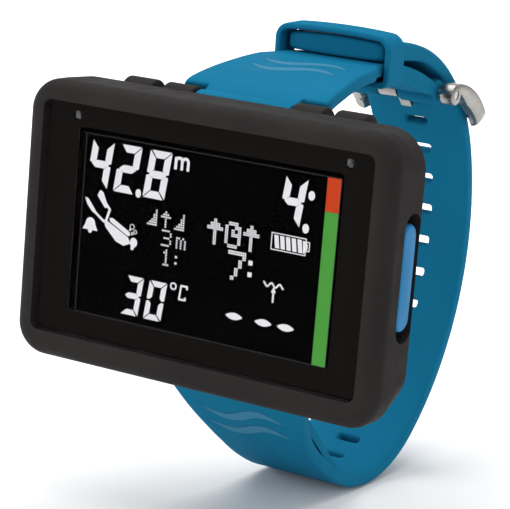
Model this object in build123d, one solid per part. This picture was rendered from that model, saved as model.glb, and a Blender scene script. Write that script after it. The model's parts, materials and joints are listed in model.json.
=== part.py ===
from build123d import *
import math
import os

# Wrist dive computer. Millimetres. The display faces -Y, 12 o'clock is +Z, 3 o'clock is +X.
# The origin is the centre of the rear plate's outer face, which rests on the wrist.

# Housing
BODY_W = 73.6
BODY_TOP = 23.5
BODY_BOTTOM = -26.0
BODY_R = 5.8
REAR_BOTTOM = -24.0
REAR_R = 7.0
Y_FRONT = -18.8
Y_CHIN = -13.0
Y_TAPER = -8.2
Y_BACK = -1.0
TAPER_DEG = 28.0
FRONT_EDGE_R = 2.8
PLATE_T = 1.0

# Window and what lies behind it
LENS_W = 66.0
LENS_H = 41.1
LENS_R = 1.5
LENS_Z = -0.6
LENS_T = 1.8
Y_LENS = -18.5
MASK_T = 0.2
GASKET_T = 0.4
SCREEN_W = 52.6
SCREEN_H = 32.2
DOT_X = 27.2
DOT_Z = 17.65
DOT_R = 0.9
GLAND_GAP = 0.05

# Cavity for the electronics
CAV_X = 30.9
CAV_Z_FRONT = 18.0
CAV_Z_REAR = 16.5
Y_STEP = -9.8
Y_FLOOR = -3.6
LCD_W = 58.6
LCD_H = 34.0
LCD_Z = -0.3
BOARD_W = 57.6
Y_BOARD_FRONT = -12.9
Y_BOARD_BACK = -12.1
BOARD_SCREW_XZ = ((-27.2, -14.9), (-27.2, 14.3), (6.6, -14.9), (6.6, 14.3))

# Rear face
SENSOR_XZ = (24.0, 7.5)
CONTACT_XZ = ((24.0, -3.0), (24.0, -9.0))
SCREW_XZ = ((-27.0, -13.2), (-27.0, 13.2), (27.0, -13.2), (27.0, 13.2))

# Battery well, opened from the back
BATT_X = -10.0
CELL_R = 12.25
CELL_T = 5.0
WELL_R = 12.5
WELL_WALL_R = 14.2
WELL_Y = -10.0
CAP_R = 13.92
CAP_THREAD_R = 14.0
CAP_FLANGE_R = 15.2
CAP_RECESS_R = 15.4
PROBE_X = (BATT_X, BATT_X + 11.6)

# Side buttons
BTN_Y = -10.75
BTN_Z = -0.65
BTN_TRAVEL = 0.9
RECESS_L = 21.9
RECESS_W = 5.4
RECESS_X = 33.8
CAP_L = 18.2
CAP_W = 4.6
CAP_X0 = 34.9
CAP_X1 = 36.7
STEM_R = 0.95
STEM_END = 29.9

# Strap lugs and pins
LUG_Y = -5.5
LUG_Z = 21.3
LUG_R = 3.0
LUG_SPANS = ((10.0, 16.2), (18.3, 24.5))
PIN_R = 0.75
PIN_HALF = 23.6
KNUCKLE_R = 2.6

# Strap: each half is a chain of tangent arcs (radius, degrees), followed clockwise in YZ
SHORT_HEAD = 47.5
SHORT_ARCS = ((11.5, 32.0), (90.0, 14.08), (53.0, 27.935))
SHORT_T = 2.3
SHORT_PLAN = (
    (-10.0, 14.6), (-2.0, 14.6), (4.0, 13.9), (10.0, 13.0), (17.5, 12.3), (21.3, 10.5), (30.0, 10.2), (50.0, 10.2)
)
LONG_TIP = (23.7, 31.3)
LONG_HEAD = 4.0
LONG_ARCS = ((50.5, 18.0), (33.0, 56.5), (49.0, 68.707), (24.0, 65.5), (60.0, 37.863))
LONG_T = 2.7
LONG_HALF = 10.2
LONG_PLAN = ((10.2, -60.0), (10.2, -42.0), (10.8, -38.9), (12.5, -33.9), (13.9, -29.5), (13.9, -15.0))
END_HALF = 16.0
TONGUE_HALF = 9.6
SLOT_COUNT = 16
SLOT_FIRST = 21.65
SLOT_PITCH = 6.55
SLOT_W = 4.5
SLOT_H = 2.4
SLOT_IN_USE = 2

# Buckle: the frame is bowed about its own centre, the prong follows the strap
HINGE_Y = 46.7
HINGE_Z = 22.3
BAR_R = 0.8
BARREL_R = 2.0
BOW_Y = 48.2
BOW_Z = 8.35
BOW_R0 = 14.25
BOW_R1 = 15.9
BOW_A0 = -8.8
BOW_A1 = 58.0
CROSS_A = 49.0
FRAME_IN = 11.0
FRAME_OUT = 13.75
CROSS_GAP = 0.35
PRONG_HALF = 1.1
PRONG_T = 1.25

# Keeper loop
KEEPER_DEG = -2.4
KEEPER_L = 5.8
KEEPER_HALF = 10.9
KEEPER_R_IN = 45.0
KEEPER_R_OUT = 52.15
KEEPER_RISE = 0.5
KEEPER_BAND = 1.15

os.makedirs("parts", exist_ok=True)


def save(name, shape):
    """Write one node to its STEP file."""
    export_step(shape, f"parts/{name}.step")


def slab(width, height, radius, y0, y1, x=0.0, z=0.0):
    """Rounded rectangle in XZ, from y0 to y1."""
    face = Plane(origin=(x, y1, z), x_dir=(1, 0, 0), z_dir=(0, -1, 0)) * RectangleRounded(width, height, radius)
    return extrude(face, y1 - y0)


def block(x0, x1, y0, y1, z0, z1):
    """Box from its low and high corners."""
    return Pos((x0 + x1) / 2, (y0 + y1) / 2, (z0 + z1) / 2) * Box(x1 - x0, y1 - y0, z1 - z0)


def disc(radius, y0, y1, x=0.0, z=0.0):
    """Cylinder along Y."""
    return Pos(x, (y0 + y1) / 2, z) * Rot(90, 0, 0) * Cylinder(radius, y1 - y0)


def rod(radius, x0, x1, y, z):
    """Cylinder along X."""
    return Pos((x0 + x1) / 2, y, z) * Rot(0, 90, 0) * Cylinder(radius, x1 - x0)


def ring_y(major, minor, x, y, z):
    """O-ring round an axis along Y."""
    return Pos(x, y, z) * Rot(90, 0, 0) * Torus(major, minor)


def ring_x(major, minor, x, y, z):
    """O-ring round an axis along X."""
    return Pos(x, y, z) * Rot(0, 90, 0) * Torus(major, minor)


def pill(length, width, x0, x1, y, z):
    """Slot outline in YZ, long along Z, from x0 to x1."""
    face = Plane(origin=(x0, y, z), x_dir=(0, 1, 0), z_dir=(1, 0, 0)) * SlotOverall(length, width, rotation=90)
    return extrude(face, x1 - x0)


def mirrored(shape):
    """The same shape on the other side of the YZ plane."""
    return mirror(shape, about=Plane.YZ)


# ---------------------------------------------------------------- housing

def outline(y, bottom, radius):
    """Rounded outline of the body at depth y, from its bottom edge to the common top edge."""
    plane = Plane(origin=(0, y, (BODY_TOP + bottom) / 2), x_dir=(1, 0, 0), z_dir=(0, 1, 0))
    return plane * RectangleRounded(BODY_W, BODY_TOP - bottom, radius)


def body_blank():
    """Outer shape: straight walls, an underside that rises behind the chin, then a taper towards the wrist."""
    chin = outline(Y_CHIN, BODY_BOTTOM, BODY_R)
    belt = outline(Y_TAPER, REAR_BOTTOM, REAR_R)
    front = extrude(outline(Y_FRONT, BODY_BOTTOM, BODY_R), Y_CHIN - Y_FRONT)
    rear = extrude(belt, Y_BACK - Y_TAPER, taper=TAPER_DEG)
    blank = front + loft([chin.face(), belt.face()], ruled=True) + rear
    blank = fillet(blank.faces().sort_by(Axis.Y)[0].edges(), FRONT_EDGE_R)
    blank = fillet(blank.faces().sort_by(Axis.Y)[-1].edges(), 1.8)
    return blank


def lug_set(sign):
    """Four pierced lugs at one end of the housing."""
    lugs = None
    for low, high in LUG_SPANS:
        for side in (-1, 1):
            x0, x1 = sorted((side * low, side * high))
            one = rod(LUG_R, x0, x1, LUG_Y, sign * LUG_Z)
            one = fillet(one.edges().filter_by(GeomType.CIRCLE), 0.5)
            lugs = one if lugs is None else lugs + one
    return lugs


def button_cuts(side):
    """Recess, stem bore, seal groove and spring seat of one button."""
    cuts = pill(RECESS_L, RECESS_W, RECESS_X, BODY_W / 2 + 1, BTN_Y, BTN_Z)
    cuts += rod(STEM_R + GLAND_GAP, CAV_X - 1, RECESS_X + 1, BTN_Y, BTN_Z)
    cuts += rod(2.0, 32.6, RECESS_X + 1, BTN_Y, BTN_Z)
    cuts += rod(1.72, 31.35, 32.05, BTN_Y, BTN_Z)
    return cuts if side > 0 else mirrored(cuts)


def housing():
    """One-piece moulded body with a front rebate for the window and a battery well at the back."""
    body = body_blank()
    body += lug_set(1) + lug_set(-1)
    for sign in (-1, 1):
        body -= rod(KNUCKLE_R + 0.5, -10.0, 10.0, LUG_Y, sign * LUG_Z)
        body -= rod(LUG_R + 0.2, 16.2, 18.3, LUG_Y, sign * LUG_Z)
        body -= rod(LUG_R + 0.2, -18.3, -16.2, LUG_Y, sign * LUG_Z)
        body -= rod(PIN_R + 0.03, -26.0, 26.0, LUG_Y, sign * LUG_Z)
    ledge = Y_LENS + LENS_T + MASK_T + GASKET_T
    body -= slab(LENS_W + 0.1, LENS_H + 0.1, LENS_R + 0.05, Y_FRONT - 1, ledge, 0, LENS_Z)
    body -= slab(2 * CAV_X, 2 * CAV_Z_FRONT, 2.0, ledge - 1, Y_STEP, 0, LENS_Z)
    body -= slab(2 * CAV_X, 2 * CAV_Z_REAR, 2.0, Y_STEP - 1, Y_FLOOR)
    body += disc(WELL_WALL_R, WELL_Y - 0.8, Y_FLOOR + 0.5, BATT_X)
    body -= disc(WELL_R, WELL_Y, Y_BACK + 1, BATT_X)
    body -= disc(CAP_THREAD_R, -4.2, Y_BACK + 1, BATT_X)
    body -= disc(CAP_RECESS_R, -2.6, Y_BACK + 1, BATT_X)
    for side in (-1, 1):
        body -= button_cuts(side)
        body -= disc(1.1, ledge - 1, ledge + 1.0, side * DOT_X, DOT_Z)
    for x in PROBE_X:
        body -= disc(0.5, WELL_Y - 1, WELL_Y + 0.1, x)
    body -= disc(2.25, Y_FLOOR - 1, Y_BACK + 1, *SENSOR_XZ)
    body -= disc(2.95, -3.1, -2.2, *SENSOR_XZ)
    for x, z in CONTACT_XZ:
        body -= disc(1.2, Y_FLOOR - 1, Y_BACK + 1, x, z)
    for x, z in SCREW_XZ:
        body -= disc(0.8, Y_FLOOR + 0.4, Y_BACK + 1, x, z)
    for x, z in BOARD_SCREW_XZ:
        body += disc(1.6, Y_BOARD_BACK, Y_FLOOR + 0.5, x, z) - disc(0.6, Y_BOARD_BACK, Y_BOARD_BACK + 4, x, z)
    return body


# ---------------------------------------------------------------- window and display

def lens():
    """Flat glass window with a small polished bevel."""
    glass = slab(LENS_W, LENS_H, LENS_R, Y_LENS, Y_LENS + LENS_T, 0, LENS_Z)
    return chamfer(glass.faces().sort_by(Axis.Y)[0].edges(), 0.25)


def display_mask():
    """Opaque film behind the glass, open at the screen and at the two round windows."""
    y0 = Y_LENS + LENS_T
    film = slab(LENS_W - 0.4, LENS_H - 0.4, LENS_R - 0.2, y0, y0 + MASK_T, 0, LENS_Z)
    film -= slab(SCREEN_W + 0.6, SCREEN_H + 0.6, 0.8, y0 - 1, y0 + 1, 0, LENS_Z)
    for side in (-1, 1):
        film -= disc(DOT_R, y0 - 1, y0 + 1, side * DOT_X, DOT_Z)
    return film


def lens_gasket():
    """Die-cut sealing frame between the window and the housing's ledge."""
    y0 = Y_LENS + LENS_T + MASK_T
    frame = slab(LENS_W - 0.3, LENS_H - 0.3, LENS_R - 0.15, y0, y0 + GASKET_T, 0, LENS_Z)
    frame -= slab(2 * CAV_X, 2 * CAV_Z_FRONT, 2.0, y0 - 1, y0 + 1, 0, LENS_Z)
    for side in (-1, 1):
        frame -= disc(1.1, y0 - 1, y0 + 1, side * DOT_X, DOT_Z)
    return frame


def display_parts():
    """Panel, backlight, pressed tray and ribbon, stacked behind the window."""
    save("lcd_panel", slab(LCD_W, LCD_H, 0.6, -16.45, -14.65, 0, LCD_Z))
    save("backlight", slab(LCD_W - 0.6, LCD_H - 0.6, 0.6, -14.6, -13.45, 0, LCD_Z))
    tray = slab(61.2, LCD_H, 1.0, -13.4, -13.0, 0, LCD_Z)
    for side in (-1, 1):
        x0, x1 = sorted((side * 29.6, side * 30.2))
        tray += block(x0, x1, -15.6, -13.4, -13.0, 12.0)
    save("display_tray", tray)
    ribbon = block(-4.8, 4.8, -15.6, -15.4, -18.2, LCD_Z - LCD_H / 2)
    ribbon += block(-4.8, 4.8, -15.6, -11.9, -18.4, -18.2)
    ribbon += block(-4.8, 4.8, Y_BOARD_BACK, -11.9, -18.2, -15.4)
    save("display_ribbon", ribbon)


def small_optics():
    """Status light and ambient light sensor behind the two round windows."""
    for name, side in (("status_light", -1), ("light_sensor", 1)):
        chip = block(side * DOT_X - 0.7, side * DOT_X + 0.7, -16.3, -15.5, DOT_Z - 0.7, DOT_Z + 0.7)
        chip += disc(0.5, -16.45, -16.3, side * DOT_X, DOT_Z)
        save(name, chip)


# ---------------------------------------------------------------- electronics

def main_board():
    """Circuit board with its screw holes."""
    board = slab(BOARD_W, 34.0, 1.5, Y_BOARD_FRONT, Y_BOARD_BACK, 0, LCD_Z)
    for x, z in BOARD_SCREW_XZ:
        board -= disc(0.8, Y_BOARD_FRONT - 1, Y_BOARD_BACK + 1, x, z)
    for x in PROBE_X:
        board -= disc(0.5, Y_BOARD_FRONT - 1, Y_BOARD_BACK + 1, x)
    return board


def board_chips():
    """Processor, memory, radio and crystal as separate packages in one group."""
    spots = ((12.5, -6.0, 7.0, 7.0, 1.0), (13.0, 4.0, 5.0, 4.0, 0.9), (21.0, -12.0, 3.2, 5.0, 0.8), (19.5, 12.5, 6.0, 2.2, 1.1))
    chips = [block(x - w / 2, x + w / 2, Y_BOARD_BACK, Y_BOARD_BACK + t, z - h / 2, z + h / 2) for x, z, w, h, t in spots]
    return Compound(children=chips)


def board_screws():
    """Four small pan-head screws that hold the board to the housing's posts."""
    screws = []
    for x, z in BOARD_SCREW_XZ:
        screw = disc(1.1, Y_BOARD_FRONT - 0.1, Y_BOARD_FRONT, x, z)
        screw += disc(0.6, Y_BOARD_FRONT, Y_BOARD_BACK + 3.0, x, z)
        screws.append(screw)
    return Compound(children=screws)


def battery_parts():
    """Coin cell, its two contacts, the screw cap and the cap's seal."""
    save("battery_cell", fillet(disc(CELL_R, -9.2, -9.2 + CELL_T, BATT_X).edges(), 0.3))
    spring = disc(4.0, WELL_Y, WELL_Y + 0.25, BATT_X)
    for side in (-1, 1):
        spring += block(BATT_X - 1, BATT_X + 1, WELL_Y + 0.25, -9.2, side * 2.6 - 0.7, side * 2.6 + 0.7)
    spring += disc(0.4, Y_BOARD_FRONT, WELL_Y, PROBE_X[0])
    save("battery_spring", spring)
    strip = block(BATT_X + 12.3, BATT_X + 12.42, WELL_Y, -5.2, -1.3, 1.3)
    strip += block(PROBE_X[1] - 0.6, BATT_X + 12.42, WELL_Y, WELL_Y + 0.2, -1.3, 1.3)
    strip += disc(0.4, Y_BOARD_FRONT, WELL_Y, PROBE_X[1])
    save("battery_side_contact", strip)
    cap = disc(CAP_R, -4.1, -1.6, BATT_X) + disc(CAP_FLANGE_R, -1.7, -0.3, BATT_X)
    cap = chamfer(cap.faces().sort_by(Axis.Y)[-1].edges(), 0.3)
    cap -= block(BATT_X - 9.0, BATT_X + 9.0, -1.5, 0.0, -0.9, 0.9)
    save("battery_cap", cap)
    save("battery_cap_seal", ring_y(14.55, 0.4, BATT_X, -2.15, 0))


def sensor_parts():
    """Pressure sensor with its seal, wet contacts, buzzer."""
    x, z = SENSOR_XZ
    can = block(x - 3.2, x + 3.2, -5.8, -3.8, z - 3.2, z + 3.2) + disc(2.2, -3.8, -1.6, x, z)
    can -= disc(1.5, -2.2, -1.0, x, z)
    save("pressure_sensor", can)
    save("pressure_sensor_seal", ring_y(2.57, 0.34, x, -2.65, z))
    studs = []
    for cx, cz in CONTACT_XZ:
        studs.append(disc(1.2, -4.6, -0.15, cx, cz))
    save("water_contacts", Compound(children=studs))
    sounder = disc(6.2, Y_FLOOR - 0.25, Y_FLOOR, 12.5, 8.5) + disc(4.4, Y_FLOOR - 0.45, Y_FLOOR - 0.25, 12.5, 8.5)
    save("buzzer", sounder)


def rear_plate():
    """Thin plate against the wrist, with the battery cap's opening and the sensor's grille."""
    plate = slab(62.0, 34.0, 6.0, Y_BACK, 0.0)
    plate = fillet(plate.faces().sort_by(Axis.Y)[-1].edges(), 0.4)
    plate -= disc(CAP_RECESS_R, -2, 1, BATT_X)
    for k in range(6):
        angle = math.radians(60 * k)
        plate -= disc(0.45, -2, 1, SENSOR_XZ[0] + 1.5 * math.cos(angle), SENSOR_XZ[1] + 1.5 * math.sin(angle))
    plate -= disc(0.45, -2, 1, *SENSOR_XZ)
    for x, z in CONTACT_XZ:
        plate -= disc(1.8, -2, 1, x, z)
    for x, z in SCREW_XZ:
        plate -= disc(1.05, -2, 1, x, z)
        plate -= disc(1.75, -0.55, 1, x, z)
    return plate


def rear_screws():
    """Four low-head cross-slot screws of the rear plate."""
    screws = []
    for x, z in SCREW_XZ:
        screw = disc(1.65, -0.55, -0.05, x, z) + disc(0.8, -2.9, -0.55, x, z)
        screw -= block(x - 1.0, x + 1.0, -0.35, 0, z - 0.15, z + 0.15)
        screw -= block(x - 0.15, x + 0.15, -0.35, 0, z - 1.0, z + 1.0)
        screws.append(screw)
    return Compound(children=screws)


# ---------------------------------------------------------------- buttons

def button_cap():
    """Pill-shaped push piece with a crowned face and a socket for its stem."""
    cap = pill(CAP_L, CAP_W, CAP_X0, CAP_X1, BTN_Y, BTN_Z)
    cap = fillet(cap.faces().sort_by(Axis.X)[-1].edges(), 1.1)
    cap -= rod(STEM_R, CAP_X0 - 1, CAP_X0 + 1.0, BTN_Y, BTN_Z)
    return cap


def button_stem():
    """Steel stem with a groove for the retaining clip."""
    stem = rod(STEM_R, STEM_END, CAP_X0 + 1.0, BTN_Y, BTN_Z)
    groove = rod(STEM_R + 1, 30.35, 30.75, BTN_Y, BTN_Z) - rod(0.7, 30, 31, BTN_Y, BTN_Z)
    return stem - groove


def button_clip():
    """Open retaining ring in the stem's groove."""
    clip = rod(1.55, 30.4, 30.7, BTN_Y, BTN_Z) - rod(0.7, 30, 31, BTN_Y, BTN_Z)
    return clip - block(30, 31, BTN_Y, BTN_Y + 3, BTN_Z - 0.5, BTN_Z + 0.5)


def button_spring():
    """Return spring between the spring seat and the push piece."""
    wire = 0.16
    turns = 4
    height = CAP_X0 - 32.6 - 2 * wire - 0.04
    path = Helix(height / turns, height, 1.6)
    start = Plane(origin=path @ 0, z_dir=path % 0)
    coil = sweep(start * Circle(wire), path=path, is_frenet=True)
    return Pos(32.6 + wire + 0.02, BTN_Y, BTN_Z) * Rot(0, 90, 0) * coil


def button_switch():
    """Right-angle tactile switch on the board, facing the stem."""
    body = block(24.6, 27.8, Y_BOARD_BACK, -9.6, BTN_Z - 2.2, BTN_Z + 2.2)
    return body + rod(0.8, 27.8, 28.9, BTN_Y, BTN_Z)


def button_set(side_name, flip):
    """All the pieces of one button."""
    pieces = {
        "cap": button_cap(),
        "stem": button_stem(),
        "clip": button_clip(),
        "spring": button_spring(),
        "seal": ring_x(1.37, 0.33, 31.7, BTN_Y, BTN_Z),
        "switch": button_switch(),
    }
    for piece, shape in pieces.items():
        save(f"button_{side_name}_{piece}", mirrored(shape) if flip else shape)


# ---------------------------------------------------------------- strap

def arc_place(cy, cz, radius, heading):
    """Point on an arc that is followed clockwise with the given heading, in YZ."""
    return Vector(0, cy - radius * math.sin(heading), cz + radius * math.cos(heading))


def trace(start, heading_deg, arcs):
    """Centre, radius, first and last heading of each arc in a chain of tangent arcs."""
    y, z = start
    heading = math.radians(heading_deg)
    chain = []
    for radius, degrees in arcs:
        cy = y + radius * math.sin(heading)
        cz = z - radius * math.cos(heading)
        last = heading - math.radians(degrees)
        chain.append((cy, cz, radius, heading, last))
        point = arc_place(cy, cz, radius, last)
        y, z, heading = point.Y, point.Z, last
    return chain


def long_chain():
    """Middle surface of the long half, from its tip to the lower pin."""
    return trace(LONG_TIP, LONG_HEAD, LONG_ARCS)


def short_chain():
    """Middle surface of the short half, from the upper pin to the buckle's bar."""
    return trace((LUG_Y, LUG_Z), SHORT_HEAD, SHORT_ARCS)


def along(chain, distance):
    """Arc centre, radius and heading at a distance along a chain."""
    for cy, cz, radius, first, last in chain:
        length = radius * (first - last)
        if distance <= length:
            break
        distance -= length
    return cy, cz, radius, first - distance / radius


def ribbon(chain, thickness, half_width):
    """Band of even thickness along a chain, extruded across X."""
    sides = []
    for offset in (thickness / 2, -thickness / 2):
        edges = []
        for cy, cz, radius, first, last in chain:
            stops = [arc_place(cy, cz, radius + offset, h) for h in (first, (first + last) / 2, last)]
            edges.append(ThreePointArc(*stops))
        sides.append(edges)
    outer, inner = sides
    near = Line(inner[0] @ 0, outer[0] @ 0)
    far = Line(outer[-1] @ 1, inner[-1] @ 1)
    face = make_face(Wire([near, *outer, far, *inner]))
    return extrude(face, half_width, dir=(1, 0, 0), both=True)


def both_sides(half_outline):
    """Close a plan outline by repeating its +X half on the -X side."""
    return [*half_outline, *[(-x, v) for x, v in reversed(half_outline)]]


def knuckled(band, sign):
    """Shape one end of a strap half round its pin, clear of the lugs."""
    band += rod(KNUCKLE_R, -TONGUE_HALF, TONGUE_HALF, LUG_Y, sign * LUG_Z)
    for side in (-1, 1):
        x0, x1 = sorted((side * TONGUE_HALF, side * 20.0))
        z0, z1 = sorted((sign * (LUG_Z - 8), sign * (LUG_Z + 1.2)))
        band -= rod(LUG_R + 0.5, x0, x1, LUG_Y, sign * LUG_Z)
        band -= block(x0, x1, LUG_Y - 8, LUG_Y + 2.5, z0, z1)
    return band - rod(PIN_R, -20, 20, LUG_Y, sign * LUG_Z)


def slot_place(index):
    """Arc centre, radius and heading of one slot."""
    return along(long_chain(), SLOT_FIRST + index * SLOT_PITCH)


def strap_long():
    """Slotted half: from the lower lugs round the back, through the buckle and the keeper."""
    chain = long_chain()
    band = ribbon(chain, LONG_T, END_HALF)
    plan = Plane(origin=(0, 12, 0), x_dir=(1, 0, 0), z_dir=(0, -1, 0)) * Polygon(*both_sides(LONG_PLAN), align=None)
    band = (band & extrude(plan, 24)) + (band & block(-LONG_HALF, LONG_HALF, 12.0, 80.0, -60.0, 40.0))
    for side in (-1, 1):
        band -= Pos(side * LONG_HALF, LONG_TIP[0], LONG_TIP[1]) * Rot(0, 0, 45) * Box(1.2, 1.2, 12)
    for k in range(SLOT_COUNT):
        cy, cz, radius, heading = slot_place(k)
        outward = (0, -math.sin(heading), math.cos(heading))
        plane = Plane(origin=arc_place(cy, cz, radius, heading), x_dir=(1, 0, 0), z_dir=outward)
        band -= extrude(plane * SlotOverall(SLOT_W, SLOT_H), LONG_T, both=True)
    return knuckled(band, -1)


def strap_short():
    """Buckle half: from the upper lugs to the buckle's bar, narrower behind the keeper's stop shoulders."""
    band = ribbon(short_chain(), SHORT_T, END_HALF)
    outline = both_sides([(x, y) for y, x in SHORT_PLAN])
    band &= extrude(Plane.XY.offset(-5) * Polygon(*outline, align=None), 60)
    band += rod(2.1, -LONG_HALF, LONG_HALF, HINGE_Y, HINGE_Z)
    band -= rod(3.2, -2.3, 2.3, HINGE_Y, HINGE_Z)
    band -= rod(BAR_R, -20, 20, HINGE_Y, HINGE_Z)
    return knuckled(band, 1)


def arched(half, low, high, rise, radius):
    """Cross-section of the keeper: a rounded box whose top is slightly arched."""
    outline = Wire([
        Line((-half, high), (-half, low)),
        Line((-half, low), (half, low)),
        Line((half, low), (half, high)),
        ThreePointArc((half, high), (0, high + rise), (-half, high)),
    ])
    face = make_face(outline)
    return fillet(face.vertices(), radius)


def strap_keeper():
    """Floating loop that holds the tail down, square to the strap's first arc."""
    band = KEEPER_BAND
    outer = arched(KEEPER_HALF + band, KEEPER_R_IN - band, KEEPER_R_OUT + band, KEEPER_RISE, 2.2)
    inner = arched(KEEPER_HALF, KEEPER_R_IN, KEEPER_R_OUT, KEEPER_RISE, 0.8)
    section = Plane(origin=(0, 0, 0), x_dir=(1, 0, 0), z_dir=(0, -1, 0)) * (outer - inner)
    loop = extrude(section, KEEPER_L / 2, both=True)
    cy, cz = long_chain()[0][:2]
    return Pos(0, cy, cz) * Rot(-KEEPER_DEG, 0, 0) * loop


def strap_pin(sign):
    """Steel pin through the lugs and the strap's knuckle."""
    return rod(PIN_R, -PIN_HALF, PIN_HALF, LUG_Y, sign * LUG_Z)


# ---------------------------------------------------------------- buckle

def sector(cy, cz, r0, r1, a0, a1, half):
    """Piece of a ring about an X axis through (cy, cz), angles from +Z towards +Y."""
    def place(radius, angle):
        return Vector(0, cy + radius * math.sin(angle), cz + radius * math.cos(angle))

    mid = (a0 + a1) / 2
    wire = Wire([
        ThreePointArc(place(r1, a0), place(r1, mid), place(r1, a1)),
        Line(place(r1, a1), place(r0, a1)),
        ThreePointArc(place(r0, a1), place(r0, mid), place(r0, a0)),
        Line(place(r0, a0), place(r1, a0)),
    ])
    return extrude(make_face(wire), half, dir=(1, 0, 0), both=True)


def outer_edges(piece, side):
    """Straight corner edges at the far end of a bowed piece, on its two sides."""
    edges = piece.edges().filter_by(GeomType.LINE)
    return [e for e in edges if e.center().Y > BOW_Y + 8 and abs(e.center().X) > side - 0.1]


def buckle_frame():
    """Bowed frame: barrels on the hinge bar, an arm beside each strap edge, and the outer cross bar."""
    first, last, cross = (math.radians(a) for a in (BOW_A0, BOW_A1, CROSS_A))
    frame = sector(BOW_Y, BOW_Z, BOW_R0, BOW_R1, first, last, FRAME_OUT)
    corners = outer_edges(frame, FRAME_OUT)
    frame = fillet(corners, 3.2)
    window = sector(BOW_Y, BOW_Z, BOW_R0 - 3, BOW_R1 + 3, first - 0.3, cross, FRAME_IN)
    corners = outer_edges(window, FRAME_IN)
    frame -= fillet(corners, 1.2)
    for side in (-1, 1):
        x0, x1 = sorted((side * (FRAME_IN + 0.3), side * (FRAME_OUT + 0.25)))
        frame += rod(BARREL_R, x0, x1, HINGE_Y, HINGE_Z)
    cy, cz, radius, _ = slot_place(SLOT_IN_USE)
    strap_face = radius + LONG_T / 2
    frame -= rod(strap_face + CROSS_GAP, -FRAME_IN, FRAME_IN, cy, cz)
    notch = strap_face + 1.05
    frame -= sector(cy, cz, notch, notch + 4, math.radians(50), math.radians(62), PRONG_HALF + 0.25)
    return frame - rod(BAR_R + 0.05, -20, 20, HINGE_Y, HINGE_Z)


def hinge_bar():
    """Bar through the short strap, the prong and the frame."""
    return rod(BAR_R, -FRAME_OUT - 0.1, FRAME_OUT + 0.1, HINGE_Y, HINGE_Z)


def buckle_prong():
    """Prong: rolled eye on the bar, a leg through the strap's slot, and a finger in the cross bar's notch."""
    cy, cz, radius, heading = slot_place(SLOT_IN_USE)
    hinge_a = math.atan2(HINGE_Y - cy, HINGE_Z - cz)
    leg_a = -heading + 0.2 / radius
    half_leg = 0.6 / radius
    low = radius - LONG_T / 2 - 1.8
    high = radius + LONG_T / 2 + 1.1
    tip_a = math.radians(58.5)
    prong = rod(1.95, -1.9, 1.9, HINGE_Y, HINGE_Z)
    prong += sector(cy, cz, low, low + PRONG_T, hinge_a + 0.01, leg_a + half_leg, PRONG_HALF)
    prong += sector(cy, cz, low, high + PRONG_T, leg_a - half_leg, leg_a + half_leg, PRONG_HALF)
    prong += sector(cy, cz, high, high + PRONG_T, leg_a - half_leg, tip_a, PRONG_HALF)
    return prong - rod(BAR_R + 0.05, -20, 20, HINGE_Y, HINGE_Z)


def write_all():
    """Write every node."""
    save("housing", housing())
    save("lens", lens())
    save("display_mask", display_mask())
    save("lens_gasket", lens_gasket())
    display_parts()
    small_optics()
    save("main_board", main_board())
    save("board_chips", board_chips())
    save("board_screws", board_screws())
    battery_parts()
    sensor_parts()
    save("rear_plate", rear_plate())
    save("rear_plate_screws", rear_screws())
    button_set("right", False)
    button_set("left", True)
    save("strap_long", strap_long())
    save("strap_short", strap_short())
    save("strap_keeper", strap_keeper())
    save("strap_pin_upper", strap_pin(1))
    save("strap_pin_lower", strap_pin(-1))
    save("buckle_frame", buckle_frame())
    save("buckle_hinge_bar", hinge_bar())
    save("buckle_prong", buckle_prong())


write_all()
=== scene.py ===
import bpy
import json
import math
import numpy as np
from mathutils import Matrix, Vector
from mathutils.geometry import delaunay_2d_cdt


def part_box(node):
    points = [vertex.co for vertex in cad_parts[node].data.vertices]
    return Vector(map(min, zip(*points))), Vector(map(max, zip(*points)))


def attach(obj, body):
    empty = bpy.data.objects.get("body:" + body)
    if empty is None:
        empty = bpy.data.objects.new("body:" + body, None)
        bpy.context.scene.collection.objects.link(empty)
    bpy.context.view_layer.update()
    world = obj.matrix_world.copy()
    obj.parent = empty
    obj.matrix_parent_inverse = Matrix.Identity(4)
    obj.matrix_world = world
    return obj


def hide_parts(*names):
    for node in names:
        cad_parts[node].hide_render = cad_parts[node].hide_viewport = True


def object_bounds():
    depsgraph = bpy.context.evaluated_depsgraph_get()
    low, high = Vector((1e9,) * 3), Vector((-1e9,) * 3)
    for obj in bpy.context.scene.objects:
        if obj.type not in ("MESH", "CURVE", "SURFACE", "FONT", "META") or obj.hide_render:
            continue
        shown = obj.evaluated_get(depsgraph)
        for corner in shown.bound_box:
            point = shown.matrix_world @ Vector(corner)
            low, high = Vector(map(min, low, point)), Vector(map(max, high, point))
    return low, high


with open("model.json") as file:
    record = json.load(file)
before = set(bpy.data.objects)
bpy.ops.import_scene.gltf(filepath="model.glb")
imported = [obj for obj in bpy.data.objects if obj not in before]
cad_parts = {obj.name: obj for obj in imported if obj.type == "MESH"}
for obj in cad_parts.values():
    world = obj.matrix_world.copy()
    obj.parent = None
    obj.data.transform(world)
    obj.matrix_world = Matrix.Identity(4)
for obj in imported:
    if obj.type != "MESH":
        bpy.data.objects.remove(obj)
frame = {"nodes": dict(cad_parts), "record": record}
cad_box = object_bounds()
scene = bpy.context.scene
MM = 0.001

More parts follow.
